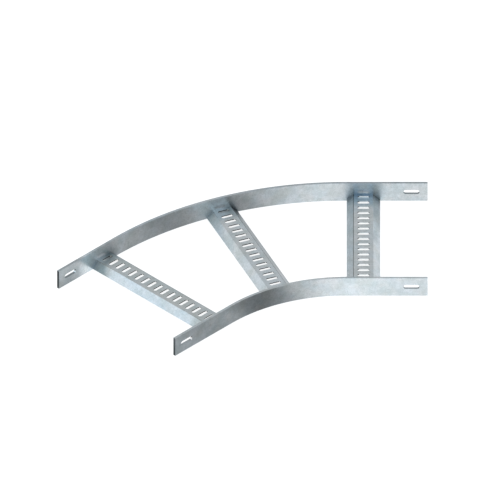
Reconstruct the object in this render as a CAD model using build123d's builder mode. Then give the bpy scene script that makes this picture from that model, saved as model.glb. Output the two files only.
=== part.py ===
from build123d import *
import os
from math import cos, radians, sin

# Cable ladder bend, 45 degrees flat: two flat-bar side rails joined by three
# slotted channel rungs, all of galvanised steel. Millimetres, +Z up. It lies flat
# on the rails' undersides, with the origin in the middle of its footprint and the
# right leg along +X.

# Driving dimensions, mm and degrees
inside_width = 300.0  # clear width between the two rails
bend_radius = 300.0  # bend centre to the inner rail's concave face
bend_angle = 45.0
leg_length = 150.0  # straight stretch at each end of the bend

rail_height = 40.0
rail_thickness = 5.0
rail_edge_chamfer = 0.5  # the rolled bar's broken edges

joint_slot_length = 30.0  # one slot at each rail end, for the coupler's bolt
joint_slot_width = 9.0
joint_slot_from_end = 30.0  # rail's end to the slot's centre

rung_width = 62.0  # over the channel's two lower edges
rung_top_width = 36.5  # over its two creases
rung_height = 12.0
rung_sheet = 1.75
rung_crease_radius = 1.0  # inside the crease
rung_lift = 2.0  # rails' undersides to the channel's lower edges

tie_slots_per_rung = 18
tie_slot_length = 22.5  # across the rung
tie_slot_width = 7.0

# Radii of the rails' faces and angles of the legs about the bend centre
inner_face = bend_radius + rail_thickness
outer_face = inner_face + inside_width
overall_radius = outer_face + rail_thickness
right_leg = 90.0
left_leg = right_leg + bend_angle
middle = right_leg + bend_angle / 2

# Each end rung starts where its straight leg starts
rung_places = {
    "right_rung": (right_leg, rung_width / 2),
    "middle_rung": (middle, 0.0),
    "left_rung": (left_leg, rung_width / 2),
}
tie_slot_pitch = inside_width / tie_slots_per_rung


def from_centre(angle, radius, along=0.0):
    """Plan point at a radius from the bend centre, then along the leg to its end."""
    outward = Vector(cos(radians(angle)), sin(radians(angle)))
    leg = outward.rotate(Axis.Z, -90 if angle < middle else 90)
    return outward * radius + leg * along


leg_ends = [
    from_centre(angle, radius, leg_length)
    for angle in (right_leg, left_leg)
    for radius in (bend_radius, overall_radius)
]
bend_centre = -Vector(
    (min(end.X for end in leg_ends) + max(end.X for end in leg_ends)) / 2,
    (min(end.Y for end in leg_ends) + overall_radius) / 2,
)


def place(angle, radius, along=0.0):
    """The same point in the part's own frame."""
    return bend_centre + from_centre(angle, radius, along)


def upright(angle, radius, along=0.0, height=0.0):
    """Plane that faces away from the bend centre, with its own Y axis up."""
    outward = Vector(cos(radians(angle)), sin(radians(angle)))
    origin = place(angle, radius, along) + Vector(0, 0, height)
    return Plane(origin=origin, x_dir=Vector(0, 0, 1).cross(outward), z_dir=outward)


def strip(near_radius, far_radius):
    """Plan of the ladder between two radii: right leg, bend and left leg."""
    with BuildSketch() as plan:
        with BuildLine():
            for radius in (near_radius, far_radius):
                CenterArc(bend_centre, radius, right_leg, bend_angle)
            for leg in (right_leg, left_leg):
                corners = [
                    place(leg, near_radius),
                    place(leg, near_radius, leg_length),
                    place(leg, far_radius, leg_length),
                    place(leg, far_radius),
                ]
                Polyline(*corners)
        make_face()
    return plan.sketch


os.makedirs("parts", exist_ok=True)

# Side rails: flat bar on edge, bent the hard way round, with one slot near each end
for name, face_radius in (("inner_rail", bend_radius), ("outer_rail", outer_face)):
    with BuildPart() as rail:
        extrude(strip(face_radius, face_radius + rail_thickness), amount=rail_height)
        flat_edges = rail.faces().filter_by(Axis.Z).edges()
        chamfer(flat_edges, length=min(rail_edge_chamfer, rail_thickness / 3))
        for leg in (right_leg, left_leg):
            slot_along = leg_length - joint_slot_from_end
            with BuildSketch(upright(leg, face_radius, slot_along, rail_height / 2)):
                SlotOverall(joint_slot_length, joint_slot_width)
            extrude(amount=rail_thickness, mode=Mode.SUBTRACT)
    rail.part.label = name
    export_step(rail.part, f"parts/{name}.step")

# Rungs: folded sheet channels, open below, cut to end on the faces of both rails
half_base = rung_width / 2
half_top = rung_top_width / 2
for name, (angle, along) in rung_places.items():
    with BuildPart() as rung:
        with BuildSketch(upright(angle, bend_radius, along, rung_lift)):
            with BuildLine():
                outside = FilletPolyline(
                    (-half_base, 0),
                    (-half_top, rung_height),
                    (half_top, rung_height),
                    (half_base, 0),
                    radius=rung_crease_radius + rung_sheet,
                )
                offset(outside, amount=rung_sheet, side=Side.RIGHT)
            make_face()
        extrude(amount=overall_radius - bend_radius)
        extrude(strip(inner_face, outer_face), amount=rail_height, mode=Mode.INTERSECT)
        top = rung_lift + rung_height
        for count in range(tie_slots_per_rung):
            from_rail = tie_slot_pitch * (count + 0.5)
            centre = upright(angle, inner_face + from_rail, along, top)
            flat = Plane(origin=centre.origin, x_dir=centre.x_dir, z_dir=(0, 0, 1))
            with BuildSketch(flat):
                SlotOverall(tie_slot_length, tie_slot_width)
            extrude(amount=-rung_height, mode=Mode.SUBTRACT)
    rung.part.label = name
    export_step(rung.part, f"parts/{name}.step")
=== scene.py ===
from math import cos, radians, sin

import bpy
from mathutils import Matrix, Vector


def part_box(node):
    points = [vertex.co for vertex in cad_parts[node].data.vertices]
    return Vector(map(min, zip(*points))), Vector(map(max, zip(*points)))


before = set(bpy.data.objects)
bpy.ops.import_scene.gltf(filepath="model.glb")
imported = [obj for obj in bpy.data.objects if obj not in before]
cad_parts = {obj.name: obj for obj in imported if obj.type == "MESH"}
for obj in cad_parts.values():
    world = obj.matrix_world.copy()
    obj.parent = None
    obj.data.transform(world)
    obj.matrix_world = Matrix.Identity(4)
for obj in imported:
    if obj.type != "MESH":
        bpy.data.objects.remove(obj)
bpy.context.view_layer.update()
scene = bpy.context.scene
scene.view_settings.view_transform = "Standard"

# Camera
# The photograph is an exact isometric view, so the camera has no perspective.
# Its scale and its middle were measured on the rails' edges.
photo_width_px = 500
photo_px_per_mm = 0.539
view_elevation = radians(35.264)
looked_at = Vector((0.0142, 0.0889, 0.0))
camera_distance = 3.0

camera_data = bpy.data.cameras.new("isometric_camera")
camera_data.type = "ORTHO"
camera_data.ortho_scale = photo_width_px / photo_px_per_mm / 1000
camera_data.clip_end = 20.0
camera = bpy.data.objects.new("isometric_camera", camera_data)
towards_camera = Vector((0, -cos(view_elevation), sin(view_elevation)))
camera.location = looked_at + towards_camera * camera_distance
camera.rotation_euler = towards_camera.to_track_quat("Z", "Y").to_euler()
scene.collection.objects.link(camera)
scene.camera = camera


# Studio floor
# A large sheet of pale card that the camera sees as plain white, too bright for a shadow to
# show. To the steel it is a sheet of glass over a few light strips, so that the room's lower
# walls show in the rails too.
def linear(hex_colour):
    """Linear RGBA of an sRGB hex colour."""
    parts = [int(hex_colour[i : i + 2], 16) / 255 for i in (1, 3, 5)]
    return [p / 12.92 if p <= 0.04045 else ((p + 0.055) / 1.055) ** 2.4 for p in parts] + [1]


def add_node(tree, kind, settings=None, inputs=None):
    """Adds a node with its settings. Each input takes a value or another node's socket."""
    node = tree.nodes.new(kind)
    for name, value in (settings or {}).items():
        setattr(node, name, value)
    for name, value in (inputs or {}).items():
        if isinstance(value, bpy.types.NodeSocket):
            tree.links.new(value, node.inputs[name])
        else:
            node.inputs[name].default_value = value
    return node


floor_half_width = 4.0
floor_drop = 0.0005
floor_camera_white = 0.8
strips_direction = radians(13)
# Distance across the floor in metres, and the brightness of the strip there. They began as
# a fit of the render to the photograph, and were then changed.
strips = [
    (-0.40, 0.020),
    (-0.32, 0.290),
    (-0.26, 0.610),
    (-0.20, 0.200),
    (-0.14, 0.230),
    (-0.08, 0.135),
    (-0.03, 0.180),
    (0.01, 0.035),
    (0.04, 0.030),
    (0.07, 0.020),
    (0.10, 0.205),
    (0.14, 0.345),
    (0.19, 0.250),
    (0.25, 0.100),
    (0.31, 0.050),
    (0.35, 0.000),
]


def shade_by_place(tree, place, stops):
    """A ramp of greys or linear colours, whose stops are given in the place's own units."""
    low, high = stops[0][0], stops[-1][0]
    along = add_node(
        tree,
        "ShaderNodeMapRange",
        inputs={"Value": place, "From Min": low, "From Max": high},
    )
    ramp = add_node(tree, "ShaderNodeValToRGB", inputs={"Fac": along.outputs["Result"]})
    while len(ramp.color_ramp.elements) < len(stops):
        ramp.color_ramp.elements.new(0.5)
    for element, (stop, shade) in zip(ramp.color_ramp.elements, stops):
        element.position = (stop - low) / (high - low)
        element.color = (*shade, 1) if isinstance(shade, tuple) else (shade, shade, shade, 1)
    return ramp.outputs["Color"]


floor_mesh = bpy.data.meshes.new("studio_floor")
corners = [
    (x * floor_half_width, y * floor_half_width, -floor_drop)
    for x, y in ((-1, -1), (1, -1), (1, 1), (-1, 1))
]
floor_mesh.from_pydata(corners, [], [(0, 1, 2, 3)])
floor = bpy.data.objects.new("studio_floor", floor_mesh)
scene.collection.objects.link(floor)
# The coat gets painted shade in the corners that other faces shelter, and the floor isn't to count
# as shelter
floor.visible_shadow = False

card = bpy.data.materials.new("pale_matt_card")
card.use_nodes = True
tree = card.node_tree
tree.nodes.clear()
rays = add_node(tree, "ShaderNodeLightPath")
paint = add_node(tree, "ShaderNodeBsdfDiffuse", inputs={"Color": linear("#bcbec0")})
white = add_node(
    tree,
    "ShaderNodeMath",
    {"operation": "MULTIPLY"},
    {0: rays.outputs["Is Camera Ray"], 1: floor_camera_white},
)
camera_glow = add_node(tree, "ShaderNodeEmission", inputs={"Strength": white.outputs[0]})
lit_card = add_node(
    tree,
    "ShaderNodeAddShader",
    inputs={0: paint.outputs[0], 1: camera_glow.outputs[0]},
)
place = add_node(tree, "ShaderNodeTexCoord")
across = add_node(
    tree,
    "ShaderNodeVectorMath",
    {"operation": "DOT_PRODUCT"},
    {0: place.outputs["Object"], 1: (cos(strips_direction), sin(strips_direction), 0.0)},
)
strip_light = shade_by_place(tree, across.outputs["Value"], strips)
strip_glow = add_node(tree, "ShaderNodeEmission", inputs={"Color": strip_light})
glass = add_node(tree, "ShaderNodeBsdfTransparent")
lit_glass = add_node(
    tree,
    "ShaderNodeAddShader",
    inputs={0: glass.outputs[0], 1: strip_glow.outputs[0]},
)
mirrored = add_node(
    tree,
    "ShaderNodeMath",
    {"operation": "MAXIMUM"},
    {0: rays.outputs["Is Glossy Ray"], 1: rays.outputs["Is Transmission Ray"]},
)
seen = add_node(
    tree,
    "ShaderNodeMixShader",
    inputs={0: mirrored.outputs[0], 1: lit_card.outputs[0], 2: lit_glass.outputs[0]},
)
add_node(tree, "ShaderNodeOutputMaterial", inputs={"Surface": seen.outputs[0]})
floor_mesh.materials.append(card)

# Studio room
# Plain grey above the horizon. Below it, the walls are brightest just left of the front, and
# dimmest at the left and the front right. The camera sees it all as white.
upper_brightness = 0.675
horizon_blur = 0.1
# Degrees from the front, past the right, and the wall's brightness there. They began as a
# fit too, and were then changed.
lower_walls = [
    (-180, 0.500),
    (-150, 0.750),
    (-125, 0.560),
    (-105, 0.300),
    (-90, 0.120),
    (-70, 0.380),
    (-45, 0.810),
    (-25, 1.490),
    (-10, 1.540),
    (0, 0.810),
    (10, 0.850),
    (20, 0.505),
    (30, 0.375),
    (40, 0.480),
    (50, 0.250),
    (60, 0.125),
    (70, 0.145),
    (80, 0.220),
    (90, 0.370),
    (105, 0.180),
    (125, 0.380),
    (145, 0.670),
    (165, 0.480),
    (180, 0.500),
]

world = bpy.data.worlds.new("studio_room")
world.use_nodes = True
tree = world.node_tree
tree.nodes.clear()
place = add_node(tree, "ShaderNodeTexCoord")
axes = add_node(tree, "ShaderNodeSeparateXYZ", inputs={0: place.outputs["Generated"]})
front = add_node(tree, "ShaderNodeMath", {"operation": "MULTIPLY"}, {0: axes.outputs["Y"], 1: -1.0})
turned = add_node(
    tree,
    "ShaderNodeMath",
    {"operation": "ARCTAN2"},
    {0: axes.outputs["X"], 1: front.outputs[0]},
)
azimuth = add_node(tree, "ShaderNodeMath", {"operation": "DEGREES"}, {0: turned.outputs[0]})
walls = shade_by_place(tree, azimuth.outputs[0], lower_walls)
above = add_node(
    tree,
    "ShaderNodeMapRange",
    {"interpolation_type": "SMOOTHSTEP"},
    {"Value": axes.outputs["Z"], "From Min": -horizon_blur, "From Max": horizon_blur},
)
upper_grey = (upper_brightness, upper_brightness, upper_brightness, 1)
room = add_node(
    tree,
    "ShaderNodeMix",
    {"data_type": "RGBA"},
    {0: above.outputs["Result"], 6: walls, 7: upper_grey},
)
rays = add_node(tree, "ShaderNodeLightPath")
shown = add_node(
    tree,
    "ShaderNodeMix",
    {"data_type": "RGBA"},
    {0: rays.outputs["Is Camera Ray"], 6: room.outputs[2], 7: linear("#ffffff")},
)
background = add_node(tree, "ShaderNodeBackground", inputs={"Color": shown.outputs[2]})
add_node(tree, "ShaderNodeOutputWorld", inputs={"Surface": background.outputs[0]})
scene.world = world

# Studio lamps
# A few soft lamps, each with its azimuth, elevation, width and height in metres, power
# and colour.
lamp_distance = 2.5
softboxes = {
    "front_low": (0, 15, 1.2, 0.6, 1.5, "#ffffff"),
    "front_high": (0, 40, 1.2, 1.2, 2.0, "#90d4ff"),
    "right": (60, 15, 1.2, 0.6, 3.4, "#ffffff"),
    "back_right": (145, 6, 0.9, 0.4, 0.8, "#ffffff"),
    "back_left": (238, 20, 0.8, 0.8, 0.8, "#ffffff"),
    "left_high": (268, 38, 0.8, 0.8, 1.6, "#e0f2ff"),
}
for name, (azimuth, elevation, width, height, watts, colour) in softboxes.items():
    level = Vector((sin(radians(azimuth)), -cos(radians(azimuth)), 0)) * cos(radians(elevation))
    direction = level + Vector((0, 0, sin(radians(elevation))))
    lamp_data = bpy.data.lights.new(f"{name}_softbox", "AREA")
    lamp_data.shape = "RECTANGLE"
    lamp_data.size = width
    lamp_data.size_y = height
    lamp_data.energy = watts
    lamp_data.color = linear(colour)[:3]
    lamp = bpy.data.objects.new(f"{name}_softbox", lamp_data)
    lamp.location = direction * lamp_distance
    lamp.rotation_euler = direction.to_track_quat("Z", "Y").to_euler()
    scene.collection.objects.link(lamp)


# Side rails
# Two hot-rolled flat bars, 40 by 5 mm, bent the hard way round, punched near each end for
# the coupler's bolt, and dipped in molten zinc with the rungs already between them.
def start_coat(name):
    """A new material with an empty tree."""
    material = bpy.data.materials.new(name)
    material.use_nodes = True
    material.node_tree.nodes.clear()
    return material, material.node_tree


def shelter(tree, reach, in_corner, in_open):
    """1 where other faces within reach shelter the surface, fading to 0 in the open."""
    openness = add_node(
        tree,
        "ShaderNodeAmbientOcclusion",
        {"samples": 12},
        {"Distance": reach},
    )
    depth = add_node(
        tree,
        "ShaderNodeMapRange",
        inputs={"Value": openness.outputs["AO"], "From Min": in_open, "From Max": in_corner},
    )
    return depth.outputs["Result"]


def zinc_coat(tree, place, spangle_size, painted_patches):
    """Hot-dip zinc: frozen spangles over broad clouds, multiplied by the painted light and shade on
    its patches.
    """
    clouds = add_node(
        tree,
        "ShaderNodeTexNoise",
        inputs={
            "Vector": place,
            "Scale": 1 / cloud_size,
            "Detail": 3.0,
            "Roughness": 0.6,
            "Distortion": 0.4,
        },
    )
    cloud_tone = add_node(tree, "ShaderNodeValToRGB", inputs={"Fac": clouds.outputs["Fac"]})
    dull, pale = cloud_tone.color_ramp.elements
    dull.position, dull.color = cloud_range[0], linear(zinc_colour["dull"])
    pale.position, pale.color = cloud_range[1], linear(zinc_colour["pale"])
    bloom = add_node(
        tree,
        "ShaderNodeTexNoise",
        inputs={"Vector": place, "Scale": 1 / bloom_size, "Detail": 2.0, "Roughness": 0.5},
    )
    bloom_tint = add_node(tree, "ShaderNodeValToRGB", inputs={"Fac": bloom.outputs["Fac"]})
    warm, cool = bloom_tint.color_ramp.elements
    warm.position, warm.color = bloom_range[0], linear(zinc_colour["warm"])
    cool.position, cool.color = bloom_range[1], linear(zinc_colour["cool"])
    spangle = add_node(
        tree,
        "ShaderNodeTexVoronoi",
        inputs={"Vector": place, "Scale": 1 / spangle_size},
    )
    crystal = add_node(tree, "ShaderNodeSeparateColor", inputs={0: spangle.outputs["Color"]})
    crystal_tone = add_node(
        tree,
        "ShaderNodeMapRange",
        inputs={
            "Value": crystal.outputs["Red"],
            "To Min": 1 - crystal_contrast,
            "To Max": 1 + crystal_contrast,
        },
    )
    grain = add_node(
        tree,
        "ShaderNodeTexNoise",
        inputs={"Vector": place, "Scale": 1 / grain_size, "Detail": 2.0, "Roughness": 0.6},
    )
    grain_tone = add_node(
        tree,
        "ShaderNodeMapRange",
        inputs={
            "Value": grain.outputs["Fac"],
            "From Min": grain_range[0],
            "From Max": grain_range[1],
            "To Min": 1 - grain_contrast,
            "To Max": 1 + grain_contrast,
        },
    )
    # Each layer multiplies the coat by its tint where its mask is 1
    layers = [
        (1.0, bloom_tint.outputs["Color"]),
        (1.0, crystal_tone.outputs["Result"]),
        (1.0, grain_tone.outputs["Result"]),
        *painted_patches,
    ]
    coat = cloud_tone.outputs["Color"]
    for mask, tint in layers:
        layer = add_node(
            tree,
            "ShaderNodeMix",
            {"data_type": "RGBA", "blend_type": "MULTIPLY"},
            {0: mask, 6: coat, 7: tint},
        )
        coat = layer.outputs[2]
    relief = add_node(
        tree,
        "ShaderNodeBump",
        inputs={
            "Strength": relief_strength,
            "Distance": relief_depth,
            "Height": grain.outputs["Fac"],
        },
    )
    zinc = add_node(
        tree,
        "ShaderNodeBsdfPrincipled",
        inputs={
            "Base Color": coat,
            "Metallic": 1.0,
            "Roughness": roughness,
            "Normal": relief.outputs["Normal"],
        },
    )
    add_node(tree, "ShaderNodeOutputMaterial", inputs={"Surface": zinc.outputs[0]})


# Hot-dip galvanised steel: zinc that froze in the air, so it has a soft grey sheen, broad
# pale clouds and faint crystals. Sizes are in metres. The real spangle is fine, and the
# grain finer than a pixel of the photograph, 1.86 mm, so both are drawn coarser.
zinc_colour = {
    "dull": "#c3cdd0",
    "pale": "#d3dadf",
    "warm": "#fefdfc",
    "cool": "#fafdff",
}
cloud_size = 0.022
bloom_size = 0.03
grain_size = 0.0020
bar_spangle_size = 0.005
# The stretch of each noise, from 0 to 1, over which its tone changes
cloud_range = (0.36, 0.64)
bloom_range = (0.42, 0.58)
grain_range = (0.3, 0.7)
crystal_contrast = 0.05
grain_contrast = 0.10
relief_strength = 0.15
relief_depth = 0.0002
roughness = 0.28
# How far another face shelters the bar, for its painted corner light and shade, and how open it is
# in a corner and in the open
bar_shelter_reach = 0.045
bar_in_corner = 0.5
bar_in_open = 0.95
# The bend's centre, worked out from the far corner of the outer rail
leg_length = 0.15
outer_radius = 0.610
outer_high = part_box("outer_rail")[1]
bend_centre = (outer_high.x - leg_length, outer_high.y - outer_radius, 0.0)
leg_directions = {"right": (1.0, 0.0, 0.0), "left": (-cos(radians(45)), -sin(radians(45)), 0.0)}
# Round the bend centre, in degrees from the right: the painted light and shade on the coat
# where it is sheltered, matched to the photograph. On the outer rail it is dark, as painted shade,
# right of the middle and left rungs, and bright, as a painted reflection, left of them, where the
# rung's own slope lights the rail. The first and last stops are painted shade on the slots' walls.
bar_corner_painted_light_and_shade = {
    "inner_rail": [
        (81.0, (0.40, 0.44, 0.46)),
        (86.0, (0.61, 0.71, 0.75)),
        (139.5, (0.61, 0.71, 0.75)),
        (144.0, (0.50, 0.50, 0.50)),
    ],
    "outer_rail": [
        (81.0, (0.40, 0.44, 0.46)),
        (83.0, (0.61, 0.71, 0.75)),
        (88.0, (0.44, 0.55, 0.63)),
        (91.0, (0.44, 0.50, 0.56)),
        (109.0, (0.30, 0.33, 0.34)),
        (111.0, (0.33, 0.36, 0.38)),
        (112.5, (0.80, 0.85, 0.88)),
        (115.0, (1.15, 1.20, 1.25)),
        (117.5, (1.60, 1.70, 1.80)),
        (120.0, (1.00, 1.00, 1.00)),
        (134.0, (0.80, 0.84, 0.87)),
        (136.5, (0.25, 0.26, 0.27)),
        (137.9, (0.68, 0.72, 0.75)),
        (139.5, (0.90, 0.98, 1.05)),
        (142.5, (1.50, 1.70, 1.90)),
        (144.0, (0.50, 0.50, 0.50)),
    ],
}
# Round the bend centre too: painted light and shade along each bar, as slow changes of tone,
# matched
bar_painted_light_and_shade = {
    "inner_rail": [
        (64.0, 1.08),
        (80.0, 1.06),
        (88.0, 0.98),
        (95.0, 1.01),
        (101.0, 1.13),
        (105.0, 1.16),
        (110.0, 1.04),
        (116.0, 0.99),
        (124.0, 0.97),
        (130.0, 0.98),
        (136.0, 1.02),
        (148.0, 0.97),
    ],
    "outer_rail": [
        (76.0, 1.01),
        (86.0, 1.00),
        (90.0, 0.93),
        (95.0, 1.00),
        (101.0, 0.94),
        (108.0, 0.98),
        (115.0, 1.08),
        (117.5, 1.16),
        (120.0, 1.05),
        (123.0, 1.02),
        (130.0, 1.00),
        (135.0, 1.02),
        (136.9, 0.83),
        (138.8, 0.98),
        (140.7, 1.10),
        (142.6, 1.34),
        (144.4, 0.87),
        (146.3, 0.80),
        (148.1, 0.98),
    ],
}
# The right end wall of each leg's slot: the way it faces, and the tints painted on its upper and
# lower half. The lower half faces up. The right leg's lower half and the left leg's upper half get
# painted shade, and the left leg's lower half a painted highlight.
slot_end_painted_shading = {"right": ((-1.0, 0.0, 0.0), 1.0, 0.4), "left": (leg_directions["left"], 0.15, 3.6)}
# The painted shade on the level faces, the rolled top edges and the slots' lower walls: on the bend
# and the left leg, then on the right leg
level_face_painted_shade = {"inner_rail": ("#f9f9f9", "#f6f6f6"), "outer_rail": ("#e9ebed", "#d6d9db")}
# The sawn ends, a leg's length from the bend, look darker in the photograph, and get painted shade
sawn_end_painted_shade = "#878b8c"
sawn_depth = 0.0001
# Parts of a face's normal: upward, from which a slot's wall is in its lower half and from
# which a face counts as level, and along the bar, from which a wall is a slot's end
lower_half_from = 0.05
level_from = 0.6
end_wall_from = 0.5

for name, (bend_level_shade, right_leg_level_shade) in level_face_painted_shade.items():
    bar_zinc, tree = start_coat(f"hot_dip_galvanised_bar_{name}")
    surface = add_node(tree, "ShaderNodeTexCoord")
    from_bend = add_node(
        tree,
        "ShaderNodeVectorMath",
        {"operation": "SUBTRACT"},
        {0: surface.outputs["Object"], 1: bend_centre},
    )
    axes = add_node(tree, "ShaderNodeSeparateXYZ", inputs={0: from_bend.outputs[0]})
    turned = add_node(
        tree,
        "ShaderNodeMath",
        {"operation": "ARCTAN2"},
        {0: axes.outputs["Y"], 1: axes.outputs["X"]},
    )
    round_bend = add_node(tree, "ShaderNodeMath", {"operation": "DEGREES"}, {0: turned.outputs[0]})
    painted_corner_shading = shade_by_place(tree, round_bend.outputs[0], bar_corner_painted_light_and_shade[name])
    sheltered = shelter(tree, bar_shelter_reach, bar_in_corner, bar_in_open)
    bar_painted_shading = shade_by_place(tree, round_bend.outputs[0], bar_painted_light_and_shade[name])
    # The bar's painted light and shade along it, and in its sheltered corners
    painted_patches = [(1.0, bar_painted_shading), (sheltered, painted_corner_shading)]
    tilt = add_node(tree, "ShaderNodeSeparateXYZ", inputs={0: surface.outputs["Normal"]})
    upward = add_node(
        tree,
        "ShaderNodeMath",
        {"operation": "GREATER_THAN"},
        {0: tilt.outputs["Z"], 1: lower_half_from},
    )
    on_leg = {}
    for side, direction in leg_directions.items():
        distance = add_node(
            tree,
            "ShaderNodeVectorMath",
            {"operation": "DOT_PRODUCT"},
            {0: from_bend.outputs[0], 1: direction},
        )
        sawn = add_node(
            tree,
            "ShaderNodeMath",
            {"operation": "GREATER_THAN"},
            {0: distance.outputs["Value"], 1: leg_length - sawn_depth},
        )
        painted_patches.append((sawn.outputs[0], linear(sawn_end_painted_shade)))
        on_leg[side] = add_node(
            tree,
            "ShaderNodeMath",
            {"operation": "GREATER_THAN"},
            {0: distance.outputs["Value"], 1: 0.0},
        )
        end_faces, upper_tint, lower_tint = slot_end_painted_shading[side]
        facing = add_node(
            tree,
            "ShaderNodeVectorMath",
            {"operation": "DOT_PRODUCT"},
            {0: surface.outputs["Normal"], 1: end_faces},
        )
        end_wall = add_node(
            tree,
            "ShaderNodeMath",
            {"operation": "GREATER_THAN"},
            {0: facing.outputs["Value"], 1: end_wall_from},
        )
        end_on_leg = add_node(
            tree,
            "ShaderNodeMath",
            {"operation": "MULTIPLY"},
            {0: end_wall.outputs[0], 1: on_leg[side].outputs[0]},
        )
        slot_end = add_node(
            tree,
            "ShaderNodeMath",
            {"operation": "MULTIPLY"},
            {0: end_on_leg.outputs[0], 1: sheltered},
        )
        # Painted shade on the slot's end wall, and a painted highlight on the left leg's lower half
        end_painted_shading = add_node(
            tree,
            "ShaderNodeMapRange",
            inputs={"Value": upward.outputs[0], "To Min": upper_tint, "To Max": lower_tint},
        )
        painted_patches.append((slot_end.outputs[0], end_painted_shading.outputs["Result"]))
    # Painted shade on the bar's rolled top edge and the lower walls of its slots
    flat = add_node(
        tree,
        "ShaderNodeMath",
        {"operation": "GREATER_THAN"},
        {0: tilt.outputs["Z"], 1: level_from},
    )
    level_shade_by_leg = add_node(
        tree,
        "ShaderNodeMix",
        {"data_type": "RGBA"},
        {0: on_leg["right"].outputs[0], 6: linear(bend_level_shade), 7: linear(right_leg_level_shade)},
    )
    painted_patches.append((flat.outputs[0], level_shade_by_leg.outputs[2]))
    zinc_coat(tree, surface.outputs["Object"], bar_spangle_size, painted_patches)
    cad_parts[name].data.materials.clear()
    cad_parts[name].data.materials.append(bar_zinc)

# Rungs
# Three channels folded from 1.75 mm sheet with a row of punched slots, and welded between
# the rails before the dip. Thin sheet cools faster, so its spangle is finer.
sheet_spangle_size = 0.004
# For each rung: the direction across it, its middle's distance that way from the bend
# centre, the side whose fold shows as a line in the photograph, and the painted shade on that line
half_turn = radians(22.5)
rung_half_width = 0.031
rung_folds = {
    "right_rung": ((1.0, 0.0, 0.0), rung_half_width, -1, "#6c6e6e"),
    "middle_rung": ((cos(half_turn), sin(half_turn), 0.0), 0.0, 1, "#8c8e90"),
    "left_rung": (leg_directions["left"], rung_half_width, -1, "#c0c0c0"),
}
# On the slope that faces across the rung, on the other slope and on the top: the painted shade
# in the corner with the rail, and how open the surface is where that is full and where it has
# gone. Last comes the painted shade of the whole top.
rung_corner_painted_shade = {
    "right_rung": [
        ("#a6a29e", 0.5, 0.80),
        ("#bab6b0", 0.5, 0.75),
        ("#ced4dc", 0.5, 0.86),
        "#ffffff",
    ],
    "middle_rung": [
        ("#7e8286", 0.5, 0.85),
        ("#f0ece8", 0.9, 1.0),
        ("#ffffff", 0.5, 1.0),
        "#ffffff",
    ],
    "left_rung": [
        ("#e2ddd6", 0.92, 1.0),
        ("#a4a6aa", 0.5, 0.75),
        ("#f2f8fc", 0.5, 0.95),
        "#f6f6f4",
    ],
}
sheet_shelter_reach = 0.05
# Metres from the bend centre along the rung, and the painted light and shade there on one slope,
# matched: the right rung's right slope is paler in its outer half, as painted light, and the left
# slopes of the others get painted shade by the outer rail
painted_shade_by_rail = [
    (0.577, (1.00, 1.00, 1.00)),
    (0.587, (0.92, 0.90, 0.88)),
    (0.595, (0.78, 0.75, 0.72)),
    (0.600, (0.62, 0.61, 0.60)),
    (0.605, (0.50, 0.50, 0.50)),
]
slope_painted_light_and_shade = {
    "right_rung": [
        (0.450, 1.00),
        (0.466, 0.97),
        (0.480, 1.10),
        (0.497, 1.33),
        (0.510, 1.20),
        (0.525, 1.07),
        (0.555, 1.06),
        (0.572, 1.12),
        (0.588, 0.92),
    ],
    "middle_rung": painted_shade_by_rail,
    "left_rung": painted_shade_by_rail,
}
# From the rung's middle to the line of the fold
fold_distance = 0.0186
fold_width = 0.0010
# How squarely a punched wall faces a little left of the front: the range over which its painted
# shade goes from dark, at the slots' round ends, to bright, and the tints at its two ends
wall_bearing = radians(14)
wall_facing_range = (0.94, 0.97)
wall_painted_shade_range = (0.04, 0.9)
# Parts of a face's normal: upward, up to which it is a punched wall and from which it is the
# top, and across the rung, from which it is a slope
punched_up_to = 0.3
top_from = 0.9
slope_from = 0.2

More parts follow.
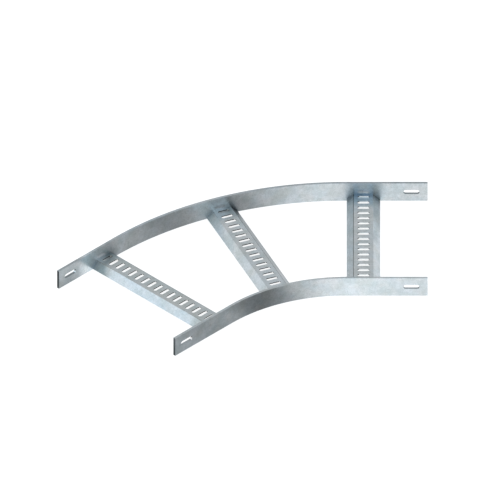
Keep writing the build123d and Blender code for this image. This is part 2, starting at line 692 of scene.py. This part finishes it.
for name, (across_rung, middle_distance, side, fold_painted_shade) in rung_folds.items():
    sheet_zinc, tree = start_coat(f"hot_dip_galvanised_sheet_{name}")
    surface = add_node(tree, "ShaderNodeTexCoord")
    tilt = add_node(tree, "ShaderNodeSeparateXYZ", inputs={0: surface.outputs["Normal"]})
    lean = add_node(tree, "ShaderNodeMath", {"operation": "ABSOLUTE"}, {0: tilt.outputs["Z"]})
    punched = add_node(
        tree,
        "ShaderNodeMath",
        {"operation": "LESS_THAN"},
        {0: lean.outputs[0], 1: punched_up_to},
    )
    facing = add_node(
        tree,
        "ShaderNodeVectorMath",
        {"operation": "DOT_PRODUCT"},
        {0: surface.outputs["Normal"], 1: (-sin(wall_bearing), -cos(wall_bearing), 0.0)},
    )
    wall_painted_shade = add_node(
        tree,
        "ShaderNodeMapRange",
        inputs={
            "Value": facing.outputs["Value"],
            "From Min": wall_facing_range[0],
            "From Max": wall_facing_range[1],
            "To Min": wall_painted_shade_range[0],
            "To Max": wall_painted_shade_range[1],
        },
    )
    from_bend = add_node(
        tree,
        "ShaderNodeVectorMath",
        {"operation": "SUBTRACT"},
        {0: surface.outputs["Object"], 1: bend_centre},
    )
    across = add_node(
        tree,
        "ShaderNodeVectorMath",
        {"operation": "DOT_PRODUCT"},
        {0: from_bend.outputs[0], 1: across_rung},
    )
    fold = add_node(
        tree,
        "ShaderNodeMath",
        {"operation": "COMPARE"},
        {0: across.outputs["Value"], 1: middle_distance + side * fold_distance, 2: fold_width / 2},
    )
    leaning = add_node(
        tree,
        "ShaderNodeVectorMath",
        {"operation": "DOT_PRODUCT"},
        {0: surface.outputs["Normal"], 1: across_rung},
    )
    slope_across = add_node(
        tree,
        "ShaderNodeMath",
        {"operation": "GREATER_THAN"},
        {0: leaning.outputs["Value"], 1: slope_from},
    )
    slope_back = add_node(
        tree,
        "ShaderNodeMath",
        {"operation": "LESS_THAN"},
        {0: leaning.outputs["Value"], 1: -slope_from},
    )
    top = add_node(
        tree,
        "ShaderNodeMath",
        {"operation": "GREATER_THAN"},
        {0: tilt.outputs["Z"], 1: top_from},
    )
    *face_corners, top_painted_shade = rung_corner_painted_shade[name]
    # Painted shade on the top, the punched walls, the fold line and the corners by the rail
    painted_patches = [
        (top.outputs[0], linear(top_painted_shade)),
        (punched.outputs[0], wall_painted_shade.outputs["Result"]),
        (fold.outputs[0], linear(fold_painted_shade)),
    ]
    faces = (slope_across, slope_back, top)
    for face, (painted_corner_shading, in_corner, in_open) in zip(faces, face_corners):
        depth = add_node(
            tree,
            "ShaderNodeMath",
            {"operation": "MULTIPLY"},
            {0: face.outputs[0], 1: shelter(tree, sheet_shelter_reach, in_corner, in_open)},
        )
        painted_patches.append((depth.outputs[0], linear(painted_corner_shading)))
    along = add_node(
        tree,
        "ShaderNodeVectorMath",
        {"operation": "DOT_PRODUCT"},
        {0: from_bend.outputs[0], 1: (-across_rung[1], across_rung[0], 0.0)},
    )
    from_centre = add_node(
        tree,
        "ShaderNodeMath",
        {"operation": "ABSOLUTE"},
        {0: along.outputs["Value"]},
    )
    slope_painted_shading = shade_by_place(tree, from_centre.outputs[0], slope_painted_light_and_shade[name])
    toned_slope = slope_back if name == "middle_rung" else slope_across
    painted_patches.append((toned_slope.outputs[0], slope_painted_shading))
    zinc_coat(tree, surface.outputs["Object"], sheet_spangle_size, painted_patches)
    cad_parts[name].data.materials.clear()
    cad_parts[name].data.materials.append(sheet_zinc)
